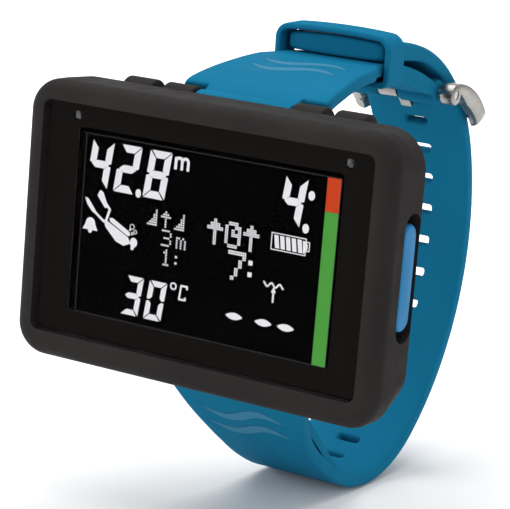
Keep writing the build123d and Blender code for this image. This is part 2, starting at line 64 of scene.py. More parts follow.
# Sizes in millimetres, the same as the CAD model's
SHORT_START = (-5.5, 21.3)
SHORT_HEAD = 47.5
SHORT_ARCS = ((11.5, 32.0), (90.0, 14.08), (53.0, 27.935))
SHORT_T = 2.3
SHORT_PLAN = (
    (-10.0, 14.6), (-2.0, 14.6), (4.0, 13.9), (10.0, 13.0), (17.5, 12.3), (21.3, 10.5), (50.0, 10.2),
)
LONG_START = (23.7, 31.3)
LONG_HEAD = 4.0
LONG_ARCS = ((50.5, 18.0), (33.0, 56.5), (49.0, 68.707), (24.0, 65.5), (60.0, 37.863))
LONG_T = 2.7
LONG_PLAN = ((-60.0, 10.2), (-42.0, 10.2), (-38.9, 10.8), (-33.9, 12.5), (-29.5, 13.9), (-15.0, 13.9))
LONG_HALF = 10.2
TONGUE_HALF = 9.6
TONGUE_L = 3.7
TIP_L = 5.0
TIP_CROWN = 0.35
TIP_CROWN_HALF = 8.5
UNDER_T = 0.8
UNDER_END = 17.0
UNDER_FADE = 8.0
SLOTS = [21.65 + 6.55 * k for k in range(16)]
SLOT_IN_USE = 2
SLOT_W = 4.5
SLOT_H = 1.6
SLOT_STRETCH = 0.35
WAVE_HALF = 8.5
WAVE_RISE = 1.5
WAVE_T = 1.3
WAVE_APART = 2.2
WAVE_DEPTH = 0.3
WAVE_EDGE = 0.12
WAVE_COLOUR = (0.055, 0.21, 0.34, 1.0)
WAVE_STRENGTH = 0.85
WAVE_REACH = (9.5, 7.0)
LONG_WAVE_FROM_END = 17.0
SHORT_WAVE_AT = 18.0
PINS = ((-5.5, 21.3), (-5.5, -21.3))
KNUCKLE_R = 2.6
KNUCKLE_BORE = 0.75
HINGE = (46.7, 22.3)
BARREL_R = 2.0
BOW = (48.2, 8.35)
BOW_R = 15.075
BOW_T = 1.65
BOW_FROM = -8.8
BOW_TO = 58.0
CROSS_FROM = 49.0
FRAME_IN = 11.0
FRAME_OUT = 13.75
ARM_WIDENING = 2.2
ARM_WIDENS_FROM = 2.0
ARM_WIDENS_OVER = 20.0
CROSS_IN = 34.7
PRONG_REST_IN = 35.35
STRAP_ARC = (31.46, -2.10)
KEEPER_CENTRE = (27.22, -19.08)
KEEPER_TILT = 2.4
KEEPER_HALF = 10.9
KEEPER_IN = 45.0
KEEPER_OUT = 52.15
KEEPER_RISE = 0.5
KEEPER_BAND = 1.15
KEEPER_L = 5.8
KEEPER_EDGE = 0.4
RIB_COUNT = 6
RIB_DEPTH = 0.14
RIB_STEPS = 48
BUTTON_Y = -10.75
BUTTON_Z = -0.65
BUTTON_L = 18.2
BUTTON_W = 4.6
BUTTON_X = (34.9, 36.7)
SCREEN_W = 51.2
SCREEN_H = 31.8
LENS_Z = -0.6
SCREEN_SHIFT = (0.45, -0.4)


# ---------------------------------------------------------------- materials

class Nodes:
    """A material's node tree, with short ways to add the nodes used here."""

    def __init__(self, name):
        self.material = bpy.data.materials.new(name)
        self.material.use_nodes = True
        self.tree = self.material.node_tree
        self.shader = self.tree.nodes["Principled BSDF"]
        self.coords = self.tree.nodes.new("ShaderNodeTexCoord").outputs["Object"]

    def link(self, a, b):
        self.tree.links.new(a, b)

    def stretched(self, scale):
        node = self.tree.nodes.new("ShaderNodeMapping")
        node.inputs["Scale"].default_value = scale
        self.link(self.coords, node.inputs["Vector"])
        return node.outputs["Vector"]

    def noise(self, scale, detail=4.0, vector=None):
        node = self.tree.nodes.new("ShaderNodeTexNoise")
        node.inputs["Scale"].default_value = scale
        node.inputs["Detail"].default_value = detail
        self.link(vector or self.coords, node.inputs["Vector"])
        return node.outputs["Fac"]

    def cells(self, scale, feature="F1"):
        node = self.tree.nodes.new("ShaderNodeTexVoronoi")
        node.feature = feature
        node.inputs["Scale"].default_value = scale
        self.link(self.coords, node.inputs["Vector"])
        return node.outputs["Distance"]

    def spread(self, value, low, high, start=0.3, stop=0.7):
        node = self.tree.nodes.new("ShaderNodeMapRange")
        node.inputs["From Min"].default_value = start
        node.inputs["From Max"].default_value = stop
        node.inputs["To Min"].default_value = low
        node.inputs["To Max"].default_value = high
        self.link(value, node.inputs["Value"])
        return node.outputs["Result"]

    def ramp(self, value, stops):
        node = self.tree.nodes.new("ShaderNodeValToRGB")
        elements = node.color_ramp.elements
        while len(elements) < len(stops):
            elements.new(0.5)
        for element, (position, colour) in zip(elements, stops):
            element.position = position
            element.color = (*colour, 1.0)
        self.link(value, node.inputs["Fac"])
        return node.outputs["Color"]

    def bump(self, value, strength, distance, onto=None):
        node = self.tree.nodes.new("ShaderNodeBump")
        node.inputs["Strength"].default_value = strength
        node.inputs["Distance"].default_value = distance * MM
        self.link(value, node.inputs["Height"])
        if onto is not None:
            self.link(onto, node.inputs["Normal"])
        return node.outputs["Normal"]


def shaded(colour, factor):
    return tuple(min(1.0, c * factor) for c in colour)


def moulded(name, colour, rough, grain=2600.0, depth=0.05, contrast=0.12, specular=0.4):
    """Moulded plastic or rubber: fine grain, faint blotches, uneven gloss."""
    n = Nodes(name)
    fine = n.noise(grain, 3.0)
    broad = n.noise(90.0, 5.0)
    stops = [(0.3, shaded(colour, 1 - contrast)), (0.5, colour), (0.72, shaded(colour, 1 + contrast))]
    n.link(n.ramp(broad, stops), n.shader.inputs["Base Color"])
    n.link(n.spread(n.noise(260.0, 6.0), rough - 0.07, rough + 0.07), n.shader.inputs["Roughness"])
    n.link(n.bump(fine, 0.6, depth, n.bump(broad, 0.25, depth * 3)), n.shader.inputs["Normal"])
    n.shader.inputs["Specular IOR Level"].default_value = specular
    return n.material


def metal(name, colour, rough, along=(1.0, 1.0, 1.0), depth=0.01, grain=2500.0):
    """Metal with drawn or brushed lines, small scratches and uneven polish."""
    n = Nodes(name)
    lines = n.noise(grain, 4.0, n.stretched(along))
    stops = [(0.3, shaded(colour, 0.86)), (0.55, colour), (0.75, shaded(colour, 1.08))]
    n.link(n.ramp(n.noise(180.0, 6.0), stops), n.shader.inputs["Base Color"])
    n.link(n.spread(lines, rough - 0.06, rough + 0.1), n.shader.inputs["Roughness"])
    scratches = n.spread(n.cells(700.0, "DISTANCE_TO_EDGE"), 0.0, 1.0, 0.0, 0.03)
    n.link(n.bump(lines, 0.35, depth, n.bump(scratches, 0.15, depth)), n.shader.inputs["Normal"])
    n.shader.inputs["Metallic"].default_value = 1.0
    return n.material


def lit(name, colour, strength):
    """A lit mark on the display: a slightly uneven glow over a flat ink."""
    n = Nodes(name)
    cells = n.noise(900.0, 2.0)
    stops = [(0.25, shaded(colour, 0.93)), (0.75, colour)]
    shade = n.ramp(cells, stops)
    n.shader.inputs["Base Color"].default_value = (0.002, 0.002, 0.002, 1.0)
    n.link(shade, n.shader.inputs["Emission Color"])
    n.shader.inputs["Emission Strength"].default_value = strength
    n.shader.inputs["Roughness"].default_value = 0.6
    n.shader.inputs["Specular IOR Level"].default_value = 0.0
    n.link(n.bump(cells, 0.2, 0.01), n.shader.inputs["Normal"])
    return n.material


def clear(name, colour, rough, ior, coat):
    """Clear polished material, with the faintest waviness and smears."""
    n = Nodes(name)
    smear = n.noise(70.0, 5.0)
    n.shader.inputs["Base Color"].default_value = (*colour, 1.0)
    n.shader.inputs["Transmission Weight"].default_value = 1.0
    n.shader.inputs["IOR"].default_value = ior
    n.shader.inputs["Coat Weight"].default_value = coat
    n.shader.inputs["Coat Roughness"].default_value = 0.03
    n.link(n.spread(smear, rough, rough + 0.02), n.shader.inputs["Roughness"])
    n.link(n.bump(smear, 0.02, 0.01), n.shader.inputs["Normal"])
    return n.material


def circuit(name):
    """Solder mask with tracks, pads and drilled vias."""
    n = Nodes(name)
    tracks = n.tree.nodes.new("ShaderNodeTexBrick")
    tracks.inputs["Scale"].default_value = 170.0
    tracks.inputs["Mortar Size"].default_value = 0.06
    tracks.inputs["Color1"].default_value = (0.012, 0.10, 0.045, 1.0)
    tracks.inputs["Color2"].default_value = (0.016, 0.13, 0.055, 1.0)
    tracks.inputs["Mortar"].default_value = (0.03, 0.22, 0.09, 1.0)
    n.link(n.stretched((1.0, 0.0, 1.0)), tracks.inputs["Vector"])
    n.link(tracks.outputs["Color"], n.shader.inputs["Base Color"])
    n.link(n.spread(n.noise(500.0), 0.22, 0.4), n.shader.inputs["Roughness"])
    n.link(n.bump(tracks.outputs["Fac"], 0.5, 0.03), n.shader.inputs["Normal"])
    return n.material


BODY = (0.021, 0.019, 0.0182)
STRAP = (0.007, 0.15, 0.275)
STEEL = (0.36, 0.345, 0.325)
LOOKS = {
    "body_plastic": moulded("body_plastic_look", BODY, 0.6, specular=0.06, depth=0.035),
    "lens_glass": clear("lens_glass_look", (0.97, 0.97, 0.98), 0.0, 1.02, 0.015),
    "black_film": moulded("black_film_painted_glow_look", (0.0215, 0.0185, 0.017), 0.4, 1500.0, 0.001, 0.1, 0.02),
    "seal_rubber": moulded("seal_rubber_look", (0.018, 0.018, 0.019), 0.7, 1800.0, 0.03),
    "display_glass": moulded("display_glass_look", (0.0005, 0.0005, 0.0006), 0.12, 1500.0, 0.0005, 0.1, 0.0),
    "diffuser_plastic": moulded("diffuser_look", (0.78, 0.79, 0.78), 0.45, 1500.0, 0.02, 0.04),
    "pressed_steel": metal("pressed_steel_look", (0.55, 0.56, 0.57), 0.32, (1.0, 1.0, 0.08)),
    "flex_film": moulded("flex_film_look", (0.45, 0.2, 0.04), 0.3, 900.0, 0.01, 0.15, 0.5),
    "clear_resin": moulded("clear_resin_look", (0.055, 0.058, 0.062), 0.15, 1200.0, 0.01, 0.1, 0.5),
    "board_laminate": circuit("board_laminate_look"),
    "chip_plastic": moulded("chip_plastic_look", (0.022, 0.022, 0.024), 0.55, 3200.0, 0.02),
    "fastener_steel": metal("fastener_steel_look", (0.55, 0.55, 0.56), 0.28, (1.0, 0.1, 1.0)),
    "cell_steel": metal("cell_steel_look", (0.64, 0.64, 0.65), 0.22, (1.0, 0.1, 1.0)),
    "contact_metal": metal("contact_metal_look", (0.76, 0.6, 0.3), 0.25, (1.0, 0.2, 1.0)),
    "sensor_steel": metal("sensor_steel_look", (0.6, 0.6, 0.61), 0.3, (1.0, 0.2, 1.0)),
    "buzzer_brass": metal("buzzer_brass_look", (0.66, 0.5, 0.24), 0.3, (0.2, 1.0, 1.0)),
    "plate_plastic": moulded("plate_plastic_look", (0.026, 0.025, 0.024), 0.55, 2000.0, 0.05),
    "pin_steel": metal("pin_steel_look", (0.6, 0.6, 0.61), 0.25, (0.08, 1.0, 1.0)),
    "spring_steel": metal("spring_steel_look", (0.5, 0.5, 0.52), 0.3, (0.3, 1.0, 1.0)),
    "strap_rubber": moulded("strap_rubber_look", STRAP, 0.62, 3000.0, 0.03, 0.05, 0.015),
    "button_plastic": moulded("button_plastic_look", (0.012, 0.19, 0.42), 0.4, 2200.0, 0.012, 0.05, 0.15),
    "buckle_steel": metal("buckle_steel_look", STEEL, 0.3, (0.1, 1.0, 1.0), 0.006),
}


# ---------------------------------------------------------------- mesh building

def add_mesh(name, points, faces, slot, body, smooth=math.radians(40)):
    """A piece from points in millimetres, shaded smooth except at sharp edges."""
    mesh = bpy.data.meshes.new(name)
    mesh.from_pydata([[c * MM for c in p] for p in points], [], faces)
    mesh.validate()
    piece = bpy.data.objects.new(name, mesh)
    scene.collection.objects.link(piece)
    mesh.shade_smooth()
    mesh.set_sharp_from_angle(angle=smooth)
    mesh.materials.append(LOOKS[slot])
    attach(piece, body)
    return piece


def merged(parts):
    """Join several (points, faces) pairs into one pair."""
    points, faces = [], []
    for more_points, more_faces in parts:
        start = len(points)
        points += list(more_points)
        faces += [[i + start for i in f] for f in more_faces]
    return points, faces


def dense(loop, step):
    """Points along a closed outline no further apart than step."""
    out = []
    for (x0, y0), (x1, y1) in zip(loop, loop[1:] + loop[:1]):
        count = max(1, math.ceil(math.hypot(x1 - x0, y1 - y0) / step))
        out += [(x0 + (x1 - x0) * i / count, y0 + (y1 - y0) * i / count) for i in range(count)]
    return out


def distances(points, loops):
    """Distance from each point to the nearest outline."""
    best = np.full(len(points), 1e9)
    for loop in loops:
        a = np.array(loop, float)
        b = np.roll(a, -1, axis=0)
        for (ax, ay), (bx, by) in zip(a, b):
            d = np.array([bx - ax, by - ay])
            rel = points - np.array([ax, ay])
            t = np.clip(rel @ d / max(d @ d, 1e-12), 0, 1)
            best = np.minimum(best, np.hypot(rel[:, 0] - t * d[0], rel[:, 1] - t * d[1]))
    return best


def inside(points, loop):
    """Which points lie inside a closed outline."""
    a = np.array(loop, float)
    b = np.roll(a, -1, axis=0)
    result = np.zeros(len(points), bool)
    for (ax, ay), (bx, by) in zip(a, b):
        if ay == by:
            continue
        crosses = (ay > points[:, 1]) != (by > points[:, 1])
        at = ax + (points[:, 1] - ay) * (bx - ax) / (by - ay)
        result ^= crosses & (points[:, 0] < at)
    return result


def plate(outline, holes, thick, radius, step, place, fine=None):
    """A sheet with rounded edges and holes, laid out flat in (u, s) and then put in place.

    place(u, s, n) gives the point at height n above the middle surface. fine is a rectangle
    (u0, u1, s0, s1, step) that gets closer points. Returns the points and faces, and the flat centre
    of each outer face."""
    loops = [dense(loop, min(step, 0.8)) for loop in (outline, *holes)]
    flat = [p for loop in loops for p in loop]
    edges = []
    start = 0
    for loop in loops:
        edges += [(start + i, start + (i + 1) % len(loop)) for i in range(len(loop))]
        start += len(loop)
    extra = []
    for loop in loops:
        a = np.array(loop)
        tangent = np.roll(a, -1, axis=0) - np.roll(a, 1, axis=0)
        tangent /= np.maximum(np.linalg.norm(tangent, axis=1), 1e-9)[:, None]
        for share in (0.12, 0.35, 0.65, 1.0):
            for side in (-1, 1):
                offset = radius * share
                beside = a + side * offset * np.stack([tangent[:, 1], -tangent[:, 0]], axis=1)
                extra.append(beside[distances(beside, loops) > offset * 0.96])
    u0, s0 = np.min(loops[0], axis=0)
    u1, s1 = np.max(loops[0], axis=0)
    spans = [(u0, u1, s0, s1, step)] + ([fine] if fine else [])
    for ua, ub, sa, sb, gap in spans:
        uu = np.linspace(ua, ub, max(3, round((ub - ua) / gap) + 1))
        ss = np.linspace(sa, sb, max(3, round((sb - sa) / gap) + 1))
        grid = np.array([(u, s) for s in ss for u in uu])
        if fine and gap == step:
            hit_u = (grid[:, 0] > fine[0]) & (grid[:, 0] < fine[1])
            hit_s = (grid[:, 1] > fine[2]) & (grid[:, 1] < fine[3])
            grid = grid[~(hit_u & hit_s)]
        extra.append(grid[distances(grid, loops) > radius + 0.3 * gap])
    more = np.concatenate(extra)
    keep = inside(more, loops[0])
    for loop in loops[1:]:
        keep &= ~inside(more, loop)
    more = more[keep]
    points = [Vector(p) for p in flat] + [Vector(p) for p in more]
    made = delaunay_2d_cdt(points, edges, [], 0, 1e-5, True)
    where = np.array([(p.x, p.y) for p in made[0]])
    triangles = made[2]
    centres = np.array([where[list(t)].mean(axis=0) for t in triangles])
    keep = inside(centres, loops[0])
    for loop in loops[1:]:
        keep &= ~inside(centres, loop)
    triangles = [list(t) for t, k in zip(triangles, keep) if k]
    depth = np.clip(distances(where, loops), 0, radius)
    height = thick / 2 - radius + np.sqrt(np.maximum(radius ** 2 - (radius - depth) ** 2, 0))
    count = len(where)
    top = [place(u, s, h) for (u, s), h in zip(where, height)]
    bottom = [place(u, s, -h) for (u, s), h in zip(where, height)]
    faces = triangles + [[i + count for i in reversed(t)] for t in triangles]
    seen = {}
    for t in triangles:
        for a, b in ((t[0], t[1]), (t[1], t[2]), (t[2], t[0])):
            seen[(a, b)] = True
    for a, b in seen:
        if (b, a) not in seen:
            faces.append([b, a, a + count, b + count])
    return (top + bottom, faces), [tuple(c) for c, k in zip(centres, keep) if k]


def turned(profile, centre, segments=40):
    """A closed (x, r) profile turned about an X axis through centre (y, z)."""
    points, faces = [], []
    size = len(profile)
    for k in range(segments):
        angle = 2 * math.pi * k / segments
        for x, r in profile:
            points.append((x, centre[0] + r * math.sin(angle), centre[1] + r * math.cos(angle)))
    for k in range(segments):
        a, b = k * size, (k + 1) % segments * size
        for i in range(size):
            j = (i + 1) % size
            faces.append([a + i, a + j, b + j, b + i])
    return points, faces


def barrel(x0, x1, r, bore, edge=0.3):
    """Profile of a tube with rounded rims."""
    c = edge * 0.3
    return [
        (x0, bore), (x1, bore), (x1, r - edge), (x1 - c, r - c), (x1 - edge, r),
        (x0 + edge, r), (x0 + c, r - c), (x0, r - edge),
    ]


def rounded(corners, radii, steps=6):
    """Outline with its corners rounded."""
    out = []
    count = len(corners)
    for i, (corner, radius) in enumerate(zip(corners, radii)):
        p, a, b = (Vector(v) for v in (corner, corners[i - 1], corners[(i + 1) % count]))
        if radius <= 0:
            out.append(tuple(p))
            continue
        to_a, to_b = (a - p).normalized(), (b - p).normalized()
        half = to_a.angle(to_b) / 2
        reach = radius / math.tan(half)
        middle = p + (to_a + to_b).normalized() * (radius / math.sin(half))
        start, end = p + to_a * reach - middle, p + to_b * reach - middle
        for k in range(steps + 1):
            out.append(tuple(middle + start.slerp(end, k / steps).normalized() * radius))
    return out


# ---------------------------------------------------------------- strap

def trace(start, heading_deg, arcs):
    """Centre, radius, first and last heading of each arc in a chain of tangent arcs."""
    y, z = start
    heading = math.radians(heading_deg)
    chain = []
    for radius, degrees in arcs:
        cy, cz = y + radius * math.sin(heading), z - radius * math.cos(heading)
        last = heading - math.radians(degrees)
        chain.append((cy, cz, radius, heading, last))
        y, z, heading = cy - radius * math.sin(last), cz + radius * math.cos(last), last
    return chain


def on_chain(chain):
    """place(u, s, n) for a chain: s along it, n outward."""
    def place(u, s, n):
        rest = s
        for cy, cz, radius, first, last in chain:
            length = radius * (first - last)
            if rest <= length:
                break
            rest -= length
        heading = first - rest / radius
        return (u, cy - (radius + n) * math.sin(heading), cz + (radius + n) * math.cos(heading))
    return place


LONG = trace(LONG_START, LONG_HEAD, LONG_ARCS)
SHORT = trace(SHORT_START, SHORT_HEAD, SHORT_ARCS)
LONG_LENGTH = sum(r * (a - b) for _, _, r, a, b in LONG)
SHORT_LENGTH = sum(r * (a - b) for _, _, r, a, b in SHORT)


def strap_outline(place, half, start_s, end_s, step=2.0):
    """Right edge of a strap half from start_s to end_s, half(y, z) from its middle line."""
    count = round((end_s - start_s) / step)
    right = []
    for i in range(count + 1):
        s = start_s + (end_s - start_s) * i / count
        _, y, z = place(0.0, s, 0.0)
        right.append((half(y, z), s))
    return right


def emblem(name, centre, along):
    """Strap rubber with two broad waves sunk into it, a little lighter.

    centre is the waves' middle point (y, z) and along the strap's direction (y, z) there."""
    look = LOOKS["strap_rubber"].copy()
    look.name = name
    tree = look.node_tree
    shader = tree.nodes["Principled BSDF"]
    coords = next(n for n in tree.nodes if n.bl_idname == "ShaderNodeTexCoord").outputs["Object"]

    def put(socket, value):
        if isinstance(value, bpy.types.NodeSocket):
            tree.links.new(value, socket)
        else:
            socket.default_value = value

    def maths(operation, a, b=0.0):
        node = tree.nodes.new("ShaderNodeMath")
        node.operation = operation
        put(node.inputs[0], a)
        put(node.inputs[1], b)
        return node.outputs[0]

    def component(direction, offset):
        node = tree.nodes.new("ShaderNodeVectorMath")
        node.operation = "DOT_PRODUCT"
        put(node.inputs[0], coords)
        node.inputs[1].default_value = tuple(c / MM for c in direction)
        return maths("SUBTRACT", node.outputs["Value"], offset)

    u = component((1.0, 0.0, 0.0), 0.0)
    v = component((0.0, *along), along[0] * centre[0] + along[1] * centre[1])
    bend = maths("MULTIPLY", maths("SINE", maths("MULTIPLY", u, math.pi / WAVE_HALF)), WAVE_RISE)
    share_out = maths("DIVIDE", maths("ABSOLUTE", u), WAVE_HALF)
    taper = maths("SQRT", maths("MAXIMUM", maths("SUBTRACT", 1.0, share_out), 0.0))
    width = maths("MULTIPLY", taper, WAVE_T)
    from_middle = maths("ABSOLUTE", maths("SUBTRACT", v, bend))
    away = maths("ABSOLUTE", maths("SUBTRACT", from_middle, WAVE_APART))
    within = tree.nodes.new("ShaderNodeMapRange")
    within.inputs["From Min"].default_value = -WAVE_EDGE
    within.inputs["From Max"].default_value = WAVE_EDGE
    put(within.inputs["Value"], maths("SUBTRACT", width, away))
    mask = within.outputs["Result"]
    mix = tree.nodes.new("ShaderNodeMix")
    mix.data_type = "RGBA"
    put(mix.inputs["Factor"], maths("MULTIPLY", mask, WAVE_STRENGTH))
    tree.links.new(shader.inputs["Base Color"].links[0].from_socket, mix.inputs["A"])
    mix.inputs["B"].default_value = WAVE_COLOUR
    tree.links.new(mix.outputs["Result"], shader.inputs["Base Color"])
    old = shader.inputs["Normal"].links[0].from_socket
    bump = tree.nodes.new("ShaderNodeBump")
    bump.invert = True
    bump.inputs["Strength"].default_value = 1.0
    bump.inputs["Distance"].default_value = WAVE_DEPTH * MM
    put(bump.inputs["Height"], mask)
    put(bump.inputs["Normal"], old)
    tree.links.new(bump.outputs["Normal"], shader.inputs["Normal"])
    return look


def print_emblem(piece, name, base, middle, centres):
    """Give the faces round s = middle on the outer side the emblem look."""
    _, y, z = base(0.0, middle, 0.0)
    _, y1, z1 = base(0.0, middle + 0.5, 0.0)
    size = math.hypot(y1 - y, z1 - z)
    piece.data.materials.append(emblem(name, (y, z), ((y1 - y) / size, (z1 - z) / size)))
    for polygon, (u, s) in zip(piece.data.polygons, centres):
        if abs(u) < WAVE_REACH[0] and abs(s - middle) < WAVE_REACH[1]:
            polygon.material_index = 1


def long_half(y, z):
    if y > 12:
        return LONG_HALF
    zs, halves = zip(*LONG_PLAN)
    return float(np.interp(z, zs, halves))


def strap_long():
    """Slotted half, with a thickened tip, rounded edges and a wave motif near the housing."""
    base = on_chain(LONG)
    shoulder = LONG_LENGTH - TONGUE_L

    def place(u, s, n):
        tip = max(0.0, 1 - s / TIP_L)
        crown = TIP_CROWN * tip * (1 - (u / TIP_CROWN_HALF) ** 2)
        fade = min(1.0, max(0.0, (UNDER_END - s) / UNDER_FADE))
        under = UNDER_T * fade * (1 - 0.3 * tip * (u / LONG_HALF) ** 2)
        return base(u, s, n + crown if n > 0 else n - under)

    right = strap_outline(base, long_half, 1.2, shoulder)
    tip = [(9.2, 0.0), (9.95, 0.35)]
    right = tip + right + [(TONGUE_HALF, shoulder), (TONGUE_HALF, LONG_LENGTH)]
    outline = right + [(-u, s) for u, s in reversed(right)]
    holes = []
    for k, s in enumerate(SLOTS):
        w, h = SLOT_W / 2, SLOT_H / 2 + (SLOT_STRETCH if k == SLOT_IN_USE else 0.0)
        corners = [(-w, s - h), (w, s - h), (w, s + h), (-w, s + h)]
        holes.append(rounded(corners, [0.55] * 4, 4))
    body, centres = plate(outline, holes, LONG_T, 0.7, 1.5, place)
    knuckle = turned(barrel(-TONGUE_HALF, TONGUE_HALF, KNUCKLE_R, KNUCKLE_BORE), PINS[1])
    piece = add_mesh("strap_long_moulding", *merged([body, knuckle]), "strap_rubber", "computer")
    print_emblem(piece, "strap_long_emblem_look", base, LONG_LENGTH - LONG_WAVE_FROM_END, centres)
    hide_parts("strap_long")


def short_half(y, z):
    ys, halves = zip(*SHORT_PLAN)
    return float(np.interp(y, ys, halves))


def strap_short():
    """Buckle half, with shoulders that stop the keeper and a wave motif on its broad part."""
    place = on_chain(SHORT)
    right = strap_outline(place, short_half, TONGUE_L, SHORT_LENGTH, 1.2)
    right = [(TONGUE_HALF, 0.0), (TONGUE_HALF, TONGUE_L)] + right
    notch = [(2.3, SHORT_LENGTH), (2.3, SHORT_LENGTH - 3.2)]
    half = right + notch
    outline = half + [(-u, s) for u, s in reversed(half)]
    band, centres = plate(outline, [], SHORT_T, 0.55, 1.5, place)
    parts = [band]
    parts.append(turned(barrel(-TONGUE_HALF, TONGUE_HALF, KNUCKLE_R, KNUCKLE_BORE), PINS[0]))
    for x0, x1 in ((-10.2, -2.3), (2.3, 10.2)):
        parts.append(turned(barrel(x0, x1, 2.4, 0.8, 0.5), HINGE))
    piece = add_mesh("strap_short_moulding", *merged(parts), "strap_rubber", "computer")
    print_emblem(piece, "strap_short_emblem_look", place, SHORT_WAVE_AT, centres)
    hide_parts("strap_short")


def strap_keeper():
    """Floating loop with rounded corners and fine ribs round its outside."""
    length, band, edge = KEEPER_L / 2, KEEPER_BAND / 2, KEEPER_EDGE
    low, high, half = KEEPER_IN - band, KEEPER_OUT + band, KEEPER_HALF + band
    corners = [(-half, low), (half, low), (half, high), (-half, high)]
    path = dense(rounded(corners, (1.3, 1.3, 2.1, 2.1), 8), 1.2)
    middle = (low + high) / 2
    path = [(x, r + (KEEPER_RISE * (1 - (x / half) ** 2) if r > middle else 0.0)) for x, r in path]
    a = np.array(path)
    tangent = np.roll(a, -1, axis=0) - np.roll(a, 1, axis=0)
    tangent /= np.linalg.norm(tangent, axis=1)[:, None]
    normal = np.stack([tangent[:, 1], -tangent[:, 0]], axis=1)
    ribbed = band + 0.001
    section = []
    for k in range(RIB_STEPS + 1):
        along = -length + edge + (2 * length - 2 * edge) * k / RIB_STEPS
        section.append((along, ribbed))
    for turn in (0.25, 0.5, 0.75, 1.0):
        angle = turn * math.pi / 2
        section.append((length - edge + edge * math.sin(angle), band - edge + edge * math.cos(angle)))
    for turn in (0.0, 0.25, 0.5, 0.75, 1.0):
        angle = turn * math.pi / 2
        section.append((length - edge + edge * math.cos(angle), -band + edge - edge * math.sin(angle)))
    for turn in (0.0, 0.25, 0.5, 0.75, 1.0):
        angle = turn * math.pi / 2
        section.append((-length + edge - edge * math.sin(angle), -band + edge - edge * math.cos(angle)))
    for turn in (0.0, 0.25, 0.5, 0.75):
        angle = turn * math.pi / 2
        section.append((-length + edge - edge * math.cos(angle), band - edge + edge * math.sin(angle)))
    tilt = math.radians(KEEPER_TILT)
    cy, cz = KEEPER_CENTRE
    points, faces = [], []
    for (x, r), (nx, nr) in zip(path, normal):
        for along, out in section:
            if out == ribbed:
                groove = 0.5 - 0.5 * math.cos(RIB_COUNT * math.pi * along / length)
                out = band - RIB_DEPTH * max(0.0, nr) * groove
            px, pr = x + nx * out, r + nr * out
            y = cy + along * math.cos(tilt) - pr * math.sin(tilt)
            z = cz + along * math.sin(tilt) + pr * math.cos(tilt)
            points.append((px, y, z))
    size, count = len(section), len(path)
    for i in range(count):
        j = (i + 1) % count
        for k in range(size):
            m = (k + 1) % size
            faces.append([i * size + k, i * size + m, j * size + m, j * size + k])
    piece = add_mesh("strap_keeper_moulding", points, faces, "strap_rubber", "keeper", math.radians(60))
    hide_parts("strap_keeper")


# ---------------------------------------------------------------- buckle

def buckle_frame():
    """Bowed frame with softened edges, a barrel on each arm, and a rest for the prong in its cross bar."""
    start, end, cross = (math.radians(a) * BOW_R for a in (BOW_FROM, BOW_TO, CROSS_FROM))
    sy, sz = STRAP_ARC

    def place(u, s, n):
        angle = s / BOW_R
        if n < 0 and abs(u) > FRAME_IN - 0.05:
            share = (math.degrees(angle) - ARM_WIDENS_FROM) / ARM_WIDENS_OVER
            n *= 1 + ARM_WIDENING * min(1.0, max(0.0, share))
        y = BOW[0] + (BOW_R + n) * math.sin(angle)
        z = BOW[1] + (BOW_R + n) * math.cos(angle)
        out = math.hypot(y - sy, z - sz)
        wanted = out
        if s > cross - 1.5:
            share = min(1.0, max(0.0, FRAME_IN + 0.6 - abs(u)))
            wanted += max(0.0, CROSS_IN - out) * share
            if abs(u) < 1.5 and n > 0:
                wanted = min(wanted, PRONG_REST_IN + 4 * max(0.0, abs(u) - 1.25))
        return (u, sy + (y - sy) * wanted / out, sz + (z - sz) * wanted / out)

    corners = [
        (-FRAME_OUT, start), (FRAME_OUT, start), (FRAME_OUT, end), (-FRAME_OUT, end),
    ]
    window = [(-FRAME_IN, start), (FRAME_IN, start), (FRAME_IN, cross), (-FRAME_IN, cross)]
    outer = rounded(corners, (0, 0, 1.9, 1.9), 8)
    inner = rounded(window, (0, 0, 1.2, 1.2), 6)
    outline = outer[1:] + [outer[0]] + [inner[0]] + list(reversed(inner[1:]))
    fine = (-2.0, 2.0, cross, end, 0.3)
    parts = [plate(outline, [], BOW_T, 0.5, 0.7, place, fine)[0]]
    for side in (-1, 1):
        x0, x1 = sorted((side * (FRAME_IN + 0.3), side * (FRAME_OUT + 0.25)))
        parts.append(turned(barrel(x0, x1, BARREL_R, 0.86, 0.45), HINGE, 48))
    points, faces = merged(parts)
    piece = add_mesh("buckle_frame_polished", points, faces, "buckle_steel", "buckle_frame_body")
    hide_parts("buckle_frame")


# ---------------------------------------------------------------- buttons

def button_cap(side, word):
    """Domed pill, standing proud in its recess."""
    x0, x1 = BUTTON_X
    middle = (x0 + x1) / 2

    def place(u, s, n):
        dome = 0.22 * (1 - (s / (BUTTON_L / 2)) ** 2) * (1 - (u / (BUTTON_W / 2)) ** 2)
        x = middle + (n - 0.22 + dome if n > 0 else n)
        return (side * x, BUTTON_Y + side * u, BUTTON_Z + s)

    w, h = BUTTON_W / 2, BUTTON_L / 2
    outline = rounded([(-w, -h), (w, -h), (w, h), (-w, h)], [w - 0.02] * 4, 10)
    points, faces = plate(outline, [], x1 - x0, 0.6, 0.5, place)[0]
    piece = add_mesh(f"button_{word}_pad", points, faces, "button_plastic", f"button_{word}")
    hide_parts(f"button_{word}_cap")


# ---------------------------------------------------------------- display

SEGMENTS = {
    "0": "abcdef", "1": "bc", "2": "abged", "3": "abgcd", "4": "fgbc",
    "5": "afgcd", "6": "afgedc", "7": "abc", "8": "abcdefg", "9": "abcdfg",
}


